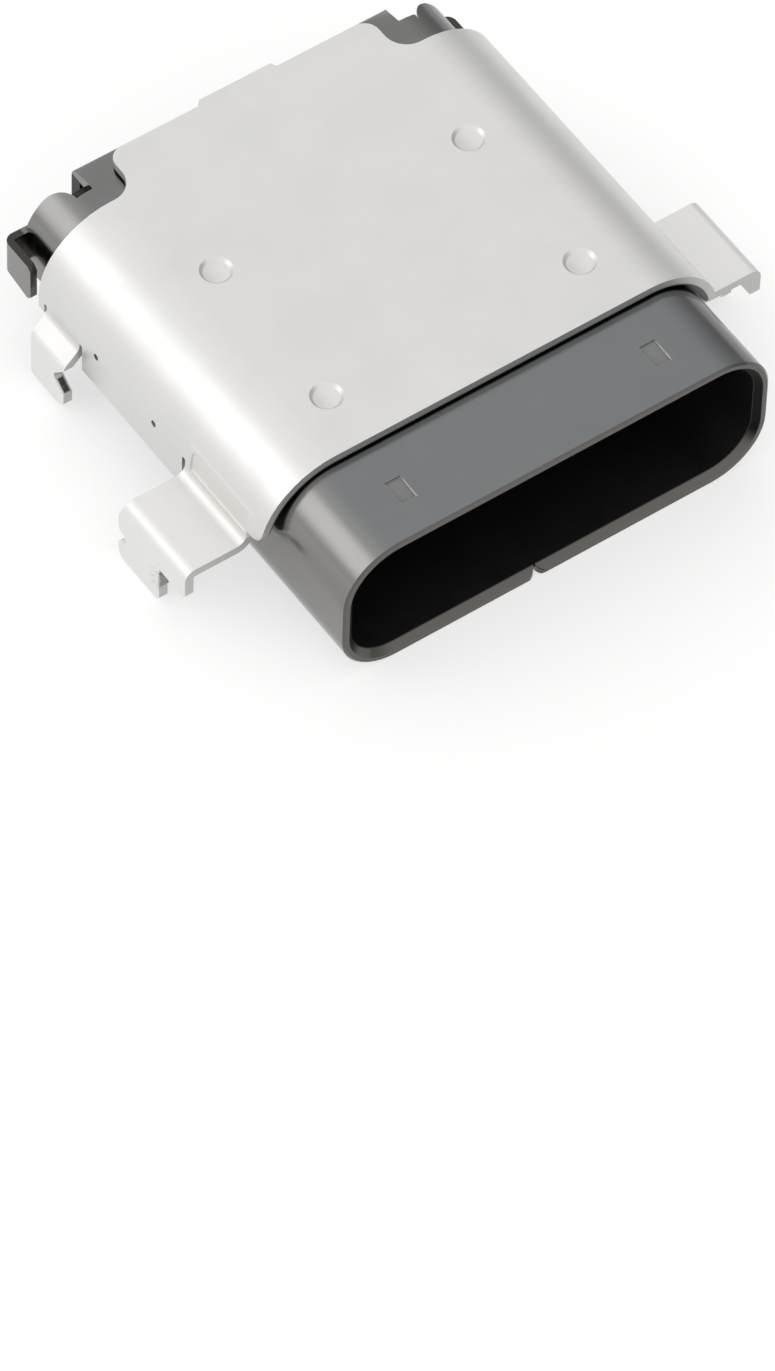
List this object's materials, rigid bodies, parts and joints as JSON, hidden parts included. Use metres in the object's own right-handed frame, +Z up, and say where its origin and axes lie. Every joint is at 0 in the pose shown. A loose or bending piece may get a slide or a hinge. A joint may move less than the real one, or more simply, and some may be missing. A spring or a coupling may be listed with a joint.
{
  "type": "usb-c socket",
  "caption": "Mid-mount USB-C socket: dark drawn shell under a plated sheet cover with board wings and solder legs, around a plastic tongue with flush contacts.",
  "frame": {"origin": "centre of the bounding box in X and Y, at the underside of the shell", "axes": "+X to the right across the mouth, +Y into the socket towards its solder tails, +Z up; the plug enters from -Y"},
  "size_m": [0.012, 0.0104, 0.0033],
  "materials": {
    "plated_cover": "matte nickel plating on stamped stainless sheet",
    "dark_shell": "dark nickel plating on a drawn steel shell, satin",
    "black_resin": "black moulded glass-filled resin",
    "wafer_resin": "black moulded resin, slightly smoother",
    "bare_steel": "stamped stainless steel, unplated",
    "contact_gold": "gold plating over nickel on copper alloy strip"
  },
  "bodies": {
    "root": {"outer_cover": "plated_cover", "inner_shell": "dark_shell", "tongue_housing": "black_resin", "upper_wafer": "wafer_resin", "lower_wafer": "wafer_resin", "mid_plate": "bare_steel", "upper_shield_plate": "bare_steel", "lower_shield_plate": "bare_steel", "contact_a01": "contact_gold", "contact_a02": "contact_gold", "contact_a03": "contact_gold", "contact_a04": "contact_gold", "contact_a05": "contact_gold", "contact_a06": "contact_gold", "contact_a07": "contact_gold", "contact_a08": "contact_gold", "contact_a09": "contact_gold", "contact_a10": "contact_gold", "contact_a11": "contact_gold", "contact_a12": "contact_gold", "contact_b01": "contact_gold", "contact_b02": "contact_gold", "contact_b03": "contact_gold", "contact_b04": "contact_gold", "contact_b05": "contact_gold", "contact_b06": "contact_gold", "contact_b07": "contact_gold", "contact_b08": "contact_gold", "contact_b09": "contact_gold", "contact_b10": "contact_gold", "contact_b11": "contact_gold", "contact_b12": "contact_gold"}
  },
  "joints": []
}
